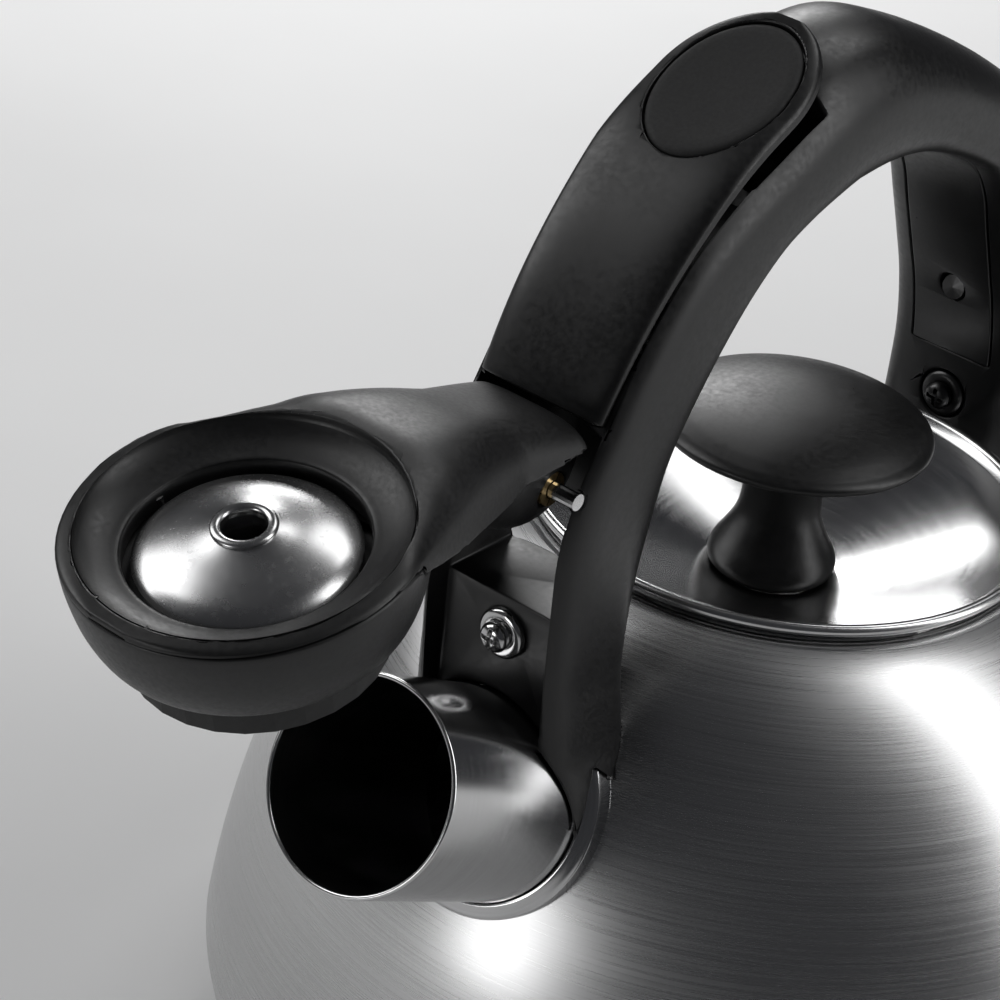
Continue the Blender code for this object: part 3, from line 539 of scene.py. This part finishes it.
def make_body():
    top = shoulder_height(NECK_OUTER)
    low = top - NECK_DEPTH
    inside = [(0.0, BASE_HEIGHT + BODY_WALL), *reversed(corner(-BODY_WALL, 12)),
              *reversed(shoulder(-BODY_WALL, 44)),
              (NECK_RADIUS + 2.0, top - 0.9), (NECK_RADIUS + 1.0, top - 1.6), (NECK_RADIUS + 0.9, low)]
    lip = runs([(NECK_RADIUS, low), (NECK_RADIUS, top - 1.4)],
               [(NECK_RADIUS, top - 1.4), (NECK_RADIUS + 0.5, top - 0.1), (NECK_RADIUS + 1.8, top + 0.5),
                (NECK_RADIUS + 3.1, top + 0.4), (NECK_OUTER, top)])[:-1]
    outside = [*shoulder(0.0, 72), *corner(0.0, 16), (0.0, BASE_HEIGHT)]
    body = turned("body_skin", [*inside, *lip, *outside], steps=192)
    far = SPOUT_MOUTH - SPOUT_AXIS * (SPOUT_LENGTH + 12)
    near = SPOUT_MOUTH - SPOUT_AXIS * 20
    cut(body, rod("spout_hole", far, near, SPOUT_RADIUS + GAP, segments=96))
    skin(body, "body_shell", "kettle", BODY_STEEL)


def body_cutter(extra):
    """The solid body and lid opening, grown by the extra."""
    top = shoulder_height(NECK_OUTER)
    return turned("body_cutter", [(0, top + 3), (NECK_OUTER - 1, top + 3), *shoulder(extra, 40),
                                  (BODY_RADIUS + 1, 20), (0, 20)], steps=128)


def make_spout():
    r, wall = SPOUT_RADIUS, SPOUT_WALL
    rolled = [(r - wall / 2 + wall / 2 * cos(a), -0.45 + 0.45 * sin(a)) for a in
              (radians(step) for step in range(0, 181, 20))]
    tube = turned("spout_skin", [*reversed(rolled), (r, -38.9), (r + 0.12, -39.5), (r + 0.12, -40.0),
                                 (r, -40.4), (r, -SPOUT_LENGTH), (r - wall, -SPOUT_LENGTH)],
                  SPOUT_FRAME, 160, closed=True)
    skin(tube, "spout_tube", "kettle", SPOUT_STEEL)
    at = -COLLAR_AT
    ring = runs([(r + GAP, at + 1.6), (r + 0.9, at + 1.55), (COLLAR_RADIUS - 1.2, at + 1.0),
                 (COLLAR_RADIUS - 0.3, at + 0.4), (COLLAR_RADIUS, at - 0.8), (COLLAR_RADIUS, at - 9)])
    collar = turned("collar_skin", [*ring, (r + GAP, at - 9)], SPOUT_FRAME, 160, closed=True)
    cut(collar, body_cutter(GAP))
    skin(collar, "spout_collar", "kettle", SPOUT_STEEL, 0.2)


# ---------------------------------------------------------------- lid


def dish_height(r):
    edge = LID_RADIUS - 2.4
    return LID_CENTRE + (LID_RIM - 0.4 - LID_CENTRE) * (r / edge) ** LID_POWER


def make_lid():
    edge = LID_RADIUS - 2.4
    radii = [2.3, *(edge * i / 36 for i in range(2, 37))]
    rim = [(LID_RADIUS + 1.15 * cos(a) - 1.15, LID_RIM + 1.15 * sin(a)) for a in
           (radians(150 - 20 * i) for i in range(16))]
    upper = [(r, dish_height(r)) for r in radii]
    lower = [(r, z - LID_WALL) for r, z in reversed(upper)]
    dish = turned("lid_skin", [*upper, *rim, *lower], steps=192, closed=True)
    skin(dish, "lid_dish", "lid", LID_STEEL, angle=50)

    foot = dish_height(9.5) + GAP + 0.2
    under = KNOB_UNDERSIDE
    stem = turned("stem_skin", runs(
        [(0, under - 0.3), (8.9, under - 0.3)],
        [(8.9, under - 0.3), (8.1, under - 2.2), (7.75, under - 5), (7.6, under - 9), (7.8, foot + 14),
         (8.6, foot + 10.5), (10.3, foot + 7), (11.7, foot + 4.6), (12.4, foot + 2.6), (12.1, foot + 0.9),
         (10.9, foot + 0.1)],
        [(10.9, foot + 0.1), (10.2, foot), (0, foot)], per_span=4), steps=96)
    cut(stem, rod("knob_screw_hole", (0, 0, foot - 2), (0, 0, foot + 14), 2.0))
    skin(stem, "knob_stem", "lid", BLACK, angle=50)
    top = KNOB_TOP
    head = turned("head_skin", runs(
        [(0, top), (6, top - 0.12), (12, top - 0.55), (17, top - 1.25), (21, top - 2.1), (23.4, top - 2.8)],
        [(23.4, top - 2.8), (25.1, top - 3.4), (26.2, top - 4.2), (26.4, top - 5.0), (26.0, under + 0.2),
         (24.8, under - 0.3)],
        [(24.8, under - 0.3), (20, under), (0, under)]), steps=160)
    skin(head, "knob_head", "lid", BLACK, angle=50)


# ---------------------------------------------------------------- whistle cap


def arm_half_width(u):
    """The teardrop plan of the cap and its arm."""
    lean = radians(13.4)
    if u < CAP_RADIUS * sin(lean):
        return sqrt(max(CAP_RADIUS**2 - u**2, 0.0))
    slope = (CAP_RADIUS * cos(lean) - ARM_HALF_WIDTH) / (48.0 - CAP_RADIUS * sin(lean))
    return max(ARM_HALF_WIDTH, ARM_HALF_WIDTH + (48.0 - u) * slope)


def crowned_ring(u, half, low, high, power, points=48):
    """A section with a level floor and a crown that follows a superellipse."""
    ring = []
    for i in range(points):
        a = pi * i / (points - 1)
        side = 1 if cos(a) > 0 else -1
        x = side * half * abs(cos(a)) ** (2 / power)
        ring.append((x, u, low + (high - low) * abs(sin(a)) ** (2 / power)))
    return ring


def make_cap():
    top_line = [tuple(point) for point in spline(TOP_LINE, 6)]
    parting = [tuple(point) for point in spline(PARTING, 5)]
    underside = [tuple(point) for point in spline(UNDERSIDE, 5)]
    front = [-CAP_RADIUS * cos(radians(a)) for a in range(8, 89, 5)]
    stations = [*front, *(1.5 + 1.5 * i for i in range(41)), ARM_END]
    top = lofted("cap_skin", [
        crowned_ring(u, arm_half_width(u), min(ramp(u, parting) - 3.0, ramp(u, top_line) - 4.0),
                     ramp(u, top_line), ramp(u, ARM_DOME)) for u in stations], CAP_FRAME)
    hollow = lofted("arm_hollow", [
        crowned_ring(u, arm_half_width(u) - 2.4, -40, ramp(u, top_line) - 2.6, 5)
        for u in (31, 35, 40, 45, 50, 55, 61, 70)], CAP_FRAME)
    cut(top, prism("below_parting", [*parting, (80, -60), (-40, -60)], 40, CAP_FRAME), hollow)
    join(top, turned("cap_collar", [(0, 3.0), (25.5, 3.0), (25.5, -3.0), (0, -3.0)], CAP_FRAME, 90))
    cut(top, turned("cap_dish", runs(
        [(0, 20), (25.3, 20)], [(25.3, 20), (25.3, 3.6)],
        [(25.3, 3.6), (24.4, 2.7), (22.6, 1.5), (20.6, 0.75), (CAP_OPENING + 0.5, 0.4), (CAP_OPENING, 0.0)],
        [(CAP_OPENING, 0.0), (CAP_OPENING, -16)], [(CAP_OPENING, -16), (0, -16)], per_span=3),
        CAP_FRAME, 128))
    skin(top, "cap_top", "cap", CAP_BLACK, 0.45)

    bowl = turned("bowl_skin", runs(
        [(0, 8), (27.9, 8)],
        [(27.9, 8), (27.9, 1.5), (27.5, -2.5), (26.6, -6.8), (25.1, -10.6), (23.3, -12.9), (20.5, -BOWL_DEPTH)],
        [(20.5, -BOWL_DEPTH), (0, -BOWL_DEPTH)], per_span=4),
        CAP_FRAME, 144)
    tail = lofted("arm_tail", [
        [(x, y, -z) for x, y, z in
         crowned_ring(u, min(arm_half_width(u) - 0.3, 10.0 + 0.32 * max(0, 46 - u)), 2.0,
                      -ramp(u, underside), 3.4)]
        for u in (16 + 1.25 * i for i in range(41))], CAP_FRAME)
    join(bowl, tail)
    lifted = [*((u, w - GAP) for u, w in parting), (80, 60), (-40, 60)]
    bore = rod("arm_bore", (-20, *HINGE.yz), (20, *HINGE.yz), 3.3)
    cut(bowl, prism("above_parting", lifted, 40, CAP_FRAME),
        turned("bowl_seat", [(0, 20), (26.1, 20), (26.1, -3.4), (15.6, -3.4), (15.6, -30), (0, -30)],
               CAP_FRAME, 90),
        bore)
    screw_seats = []
    for x in (19.7, -19.7):
        screw_seats.append(rod("cap_screw_seat", (x, 0, -30), (x, 0, -10.3), 2.7, CAP_FRAME, 40))
    cut(bowl, *screw_seats)
    skin(bowl, "cap_bowl", "cap", CAP_BLACK, 0.4)

    r = DISC_RADIUS
    bead = [(4.35 + 0.85 * cos(a), 3.25 + 0.65 * sin(a)) for a in (radians(200 - 20 * i) for i in range(12))]
    disc = turned("disc_skin", runs(
        [(3.5, 2.8), bead[0]], bead,
        [bead[-1], (7.5, 2.4), (11, 1.6), (14.5, 0.45), (r - 0.9, -0.7), (r, -1.6)],
        [(r, -1.6), (r - 0.3, -3.0)], [(r - 0.3, -3.0), (r - 1.1, -3.0)], [(r - 1.1, -3.0), (r - 1.0, -1.7)],
        [(r - 1.0, -1.7), (14.2, -0.4), (10.8, 0.8), (7.4, 1.6), (3.5, 2.3)], per_span=4),
        CAP_FRAME, 128, closed=True)
    skin(disc, "whistle_disc", "cap", DISC_STEEL, angle=45)


# ---------------------------------------------------------------- handle

FINE = 5
CROWN = spline([pair[0] for pair in ARCH], FINE)
INNER = spline([pair[1] for pair in ARCH], FINE)


def rounded_ring(centre, outward, half_depth, half_width, crown_power, inner_power, points=56):
    """Two halves of superellipses across the handle, as a closed ring."""
    ring = []
    for i in range(points):
        a = 2 * pi * (i + 0.5) / points
        bend = 2 / (crown_power if sin(a) > 0 else inner_power)
        x = half_width * abs(cos(a)) ** bend * (1 if cos(a) > 0 else -1)
        h = half_depth * abs(sin(a)) ** bend * (1 if sin(a) > 0 else -1)
        ring.append(tuple(centre + Vector((x, 0, 0)) + outward * h))
    return ring


def arch_at(station):
    """(inner point, outward direction, depth) of the arch at a station, which may lie between two."""
    i = min(int(station * FINE), len(CROWN) - 2)
    t = station * FINE - i
    crown = Vector((0, *CROWN[i].lerp(CROWN[i + 1], t)))
    inner = Vector((0, *INNER[i].lerp(INNER[i + 1], t)))
    return inner, (crown - inner).normalized(), (crown - inner).length


def steps_between(first, last):
    count = round((last - first) * FINE)
    return [first + (last - first) * i / count for i in range(count + 1)]


def arch_solid(name, inset, first, last, points=56):
    rings = []
    for station in steps_between(first, last):
        inner, outward, depth = arch_at(station)
        rings.append(rounded_ring(inner + outward * depth / 2, outward, depth / 2 - inset,
                                  ramp(station, HALF_WIDTHS) - inset, ramp(station, CROWN_POWER),
                                  ramp(station, INNER_POWER), points))
    return lofted(name, rings)


def strip_solid(name, half_width, low, high, first, last):
    """A strip along the underside of the arch, between two depths."""
    rings = []
    for station in steps_between(first, last):
        inner, outward, _ = arch_at(station)
        rings.append([tuple(inner + Vector((x, 0, 0)) + outward * h) for x, h in (
            (-half_width, low), (half_width, low), (half_width, high), (-half_width, high))])
    return lofted(name, rings)


def cover_line(level):
    """(point, outward direction) pairs along the cover, at a level counted outwards from its face."""
    line = [Vector((0, *point)) for point in spline(COVER_LINE, 6)]
    pairs = []
    for i, point in enumerate(line):
        along = (line[min(i + 1, len(line) - 1)] - line[max(i - 1, 0)]).normalized()
        outward = Vector((0, -along.z, along.y))
        pairs.append((point + outward * level, outward))
    return pairs


def make_handle():
    last = len(ARCH) - 1
    shell = arch_solid("handle_skin", 0, 0, last)
    channel = prism("fork_and_channel", (
        (-110.0, 90.0), (-82.0, 90.0), (-82.0, 141.0), (-40.0, 141.0), (-40.0, 157.0), (-69.5, 157.0),
        (-65.0, 168.5), (-57.5, 178.0), (-51.0, 185.5), (-44.0, 192.0), (-36.0, 198.0), (-29.5, 202.5),
        (-29.5, 240.0), (-110.0, 240.0)), CHEEK_INNER)
    pocket = prism("bracket_pocket", ((-77.6, 90), (-40, 90), (-40, 138.2), (-77.6, 138.2)), 9.0)
    floor = [tuple(point.yz) for point, _ in cover_line(-COVER_THICKNESS - GAP)]
    above = [tuple(point.yz) for point, _ in cover_line(14.0)]
    seat = prism("cover_seat", [*floor, *reversed(above)], COVER_HALF_WIDTH + GAP)
    slot = strip_solid("strip_slot", STRIP_HALF_WIDTH + GAP, -4.0, STRIP_THICKNESS + GAP, 5, 24)
    tube_far = SPOUT_MOUTH - SPOUT_AXIS * (SPOUT_LENGTH + 15)
    collar_high = SPOUT_MOUTH - SPOUT_AXIS * (COLLAR_AT - 2.1)
    cut(shell, rod("tube_cutter", tube_far, SPOUT_MOUTH + SPOUT_AXIS * 10, SPOUT_RADIUS + 0.5, segments=96),
        body_cutter(0.5), rod("collar_cutter", tube_far, collar_high, COLLAR_RADIUS + 0.5, segments=96))
    cut(shell, channel, pocket, seat, slot)
    cut(shell, arch_solid("rear_cavity", HANDLE_WALL, 24.3, last, 40))
    z = SCREW_HEIGHT
    cut(shell, rod("front_screw_way", (0, -100, z), (0, -70, z), 2.1),
        rod("rear_way", (0, 40, z), (0, 62, z), 2.1),
        rod("rear_seat", (0, 40, z), (0, 55.8, z), 5.2),
        rod("hinge_way", (-14.6, *HINGE.yz), (14.6, *HINGE.yz), PIN_RADIUS + GAP),
        rod("rocker_way", (-14.6, *ROCKER.yz), (14.6, *ROCKER.yz), ROCKER_PIN_RADIUS + GAP))
    skin(shell, "handle_shell", "kettle", BLACK, 0.5)

    strip = strip_solid("strip_skin", STRIP_HALF_WIDTH, 0.1, STRIP_THICKNESS, 5, 24)
    seats = []
    for station in (11.2, 15.55, 22.7):
        inner, outward, _ = arch_at(station)
        seats.append(rod("strip_screw_seat", inner - outward * 5, inner + outward * 2.2, 3.0, segments=40))
        seats.append(rod("strip_screw_way", inner + outward * 2.0, inner + outward * 9, 1.5, segments=32))
    cut(strip, *seats)
    skin(strip, "handle_inner_cover", "kettle", BLACK, 0.35)


def make_cover():
    rings = []
    up = Vector((0, cos(PAD_TILT), sin(PAD_TILT)))
    for i, (floor, outward) in enumerate(cover_line(-COVER_THICKNESS)):
        face = floor + outward * COVER_THICKNESS
        past = max(0.0, (face - PAD_CENTRE).dot(up))
        half_width = min(COVER_HALF_WIDTH, 12.8 + 0.05 * i) * sqrt(max(0.04, 1 - (past / COVER_END) ** 2))
        power = min(4.5, 2.5 + 0.4 * i / 6)
        ring = []
        for k in range(49):
            a = pi * k / 48
            side = 1 if cos(a) > 0 else -1
            rise = COVER_THICKNESS * (0.2 + 0.8 * abs(sin(a)) ** (2 / power))
            across = Vector((side * half_width * abs(cos(a)) ** (2 / power), 0, 0))
            ring.append(tuple(floor + across + outward * rise))
        reach = Vector((half_width, 0, 0))
        rings.append([tuple(floor + reach), *ring, tuple(floor - reach)])
    cover = lofted("cover_skin", rings)
    cut(cover, oval("button_hole", PAD_HALF_LENGTH + GAP, PAD_HALF_WIDTH + GAP, -8, 8))
    skin(cover, "front_cover", "kettle", BLACK, 0.35)

    work_rings = []
    for share, level in ((0.985, -4.6), (1.0, -4.2), (1.0, -0.9), (0.985, -0.45), (0.955, -0.15),
                         (0.91, -0.02), (0.8, -0.1), (0.6, -0.24), (0.35, -0.36), (0.1, -0.42)):
        half_width, half_length = PAD_HALF_WIDTH * share, PAD_HALF_LENGTH * share
        work_rings.append([(half_width * cos(2 * pi * i / 96), half_length * sin(2 * pi * i / 96), level)
                           for i in range(96)])
    pad = lofted("pad_skin", work_rings, PAD_FRAME)
    skin(pad, "thumb_button", "button", PAD_BLACK, angle=60)


# ---------------------------------------------------------------- screws


def cross_screw(name, node, head_at, direction, height, radius, look):
    """A pan head with a cross recess, on a short shank."""
    at = frame_at(head_at, direction)
    made = turned(name, runs(
        [(0, height), (radius * 0.45, height - 0.08), (radius * 0.8, height - 0.5),
         (radius * 0.98, height - 1.2), (radius, height - 1.7), (radius, 0)],
        [(radius, 0), (1.7, 0), (1.7, -6), (0, -6)], per_span=4), at, 64)
    tools = []
    for wide, deep in ((radius * 0.68, 0.42), (0.42, radius * 0.68)):
        tools.append(box("recess", (-wide, -deep, height - 1.2), (wide, deep, height + 1), at))
    cut(made, *tools)
    skin(made, node, "kettle", look, 0.1)


def make_screws():
    for label, wall, look in (("front", -82.0, BRIGHT), ("rear", 55.8, DARK_STEEL)):
        at = (0, wall, SCREW_HEIGHT)
        washer = turned(f"{label}_washer_skin", runs(
            [(2.1, 1.5), (3.4, 1.65), (4.2, 1.5), (4.7, 1.0), (4.8, 0.3)], [(4.8, 0.3), (2.1, 0.3)]),
            frame_at(at, (0, -1, 0)), 64, closed=True)
        skin(washer, f"{label}_washer", "kettle", look, angle=45)
        cross_screw(f"{label}_screw_skin", f"{label}_screw", (0, wall - 1.9, SCREW_HEIGHT), (0, -1, 0),
                    2.3, 2.8, look)


LOOKS = {
    "base_core": ALUMINIUM, "hinge_bush": BRASS, "lid_gasket": SILICONE, "spout_seal": DARK_SILICONE,
    "strip_screw_1": DARK_STEEL, "strip_screw_2": DARK_STEEL, "strip_screw_3": DARK_STEEL,
    "button_plunger": BLACK, "rocker": BLACK, "seal_carrier": BLACK,
}


def finish_plain_nodes():
    """The CAD nodes that stay get a finish of their own."""
    for name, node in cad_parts.items():
        look = LOOKS.get(name, BRIGHT)
        node.data.materials.clear()
        node.data.materials.append(look)


# ---------------------------------------------------------------- studio


def softbox(name, location, target, size, power, colour=(1, 1, 1)):
    data = bpy.data.lights.new(name, "AREA")
    data.shape = "RECTANGLE"
    data.size, data.size_y = size
    data.energy = power
    data.color = colour
    made = bpy.data.objects.new(name, data)
    bpy.context.scene.collection.objects.link(made)
    made.location = location
    made.rotation_mode = "QUATERNION"
    made.rotation_quaternion = (Vector(target) - Vector(location)).to_track_quat("-Z", "Y")


def make_studio():
    floor_mesh = bpy.data.meshes.new("floor")
    reach = 6.0
    floor_mesh.from_pydata([(-reach, -reach, 0), (reach, -reach, 0), (reach, reach, 0), (-reach, reach, 0)],
                           [], [(0, 1, 2, 3)])
    floor = place(floor_mesh, "floor")
    floor.location.z = -0.0002
    nodes = Nodes("pale_floor")
    grain = nodes.noise(6.0, detail=3.0)
    floor.data.materials.append(nodes.finish(
        {"Base Color": nodes.tint(grain, (0.78, 0.78, 0.78), (0.82, 0.82, 0.82))}, Roughness=0.7))

    world = bpy.data.worlds.new("studio")
    world.use_nodes = True
    world.node_tree.nodes["Background"].inputs["Color"].default_value = (0.9, 0.92, 1.0, 1)
    world.node_tree.nodes["Background"].inputs["Strength"].default_value = 0.04
    bpy.context.scene.world = world
    softbox("left_box", (-1.3, -0.5, 1.1), (0, 0, 0.1), (0.9, 1.2), 10)
    softbox("top_box", (-0.2, 0.9, 1.5), (0, 0, 0.1), (0.8, 0.5), 4)
    softbox("right_box", (1.1, 0.6, 0.85), (0, 0, 0.1), (0.5, 1.9), 11)
    softbox("front_strip", (-0.3, -1.5, 0.2), (0, 0, 0.1), (0.45, 0.5), 3)
    softbox("floor_box", (-0.75, 0.75, 0.6), (-0.7, 0.55, 0.0), (0.4, 0.4), 4.5)

    lens = bpy.data.cameras.new("camera")
    camera = bpy.data.objects.new("camera", lens)
    bpy.context.scene.collection.objects.link(camera)
    location = Vector((0.2532, -0.4219, 0.4057))
    target = Vector((0.0, -0.0878, 0.1625))
    camera.location = location
    camera.rotation_mode = "QUATERNION"
    roll = Quaternion((0, 0, 1), radians(7.1))
    camera.rotation_quaternion = (target - location).to_track_quat("-Z", "Y") @ roll
    lens.sensor_width = 36.0
    lens.lens = 106.2
    lens.clip_start = 0.01
    bpy.context.scene.camera = camera
    bpy.context.scene.view_settings.view_transform = "Standard"


finish_plain_nodes()
make_body()
make_spout()
make_lid()
make_cap()
make_handle()
make_cover()
make_screws()
make_studio()
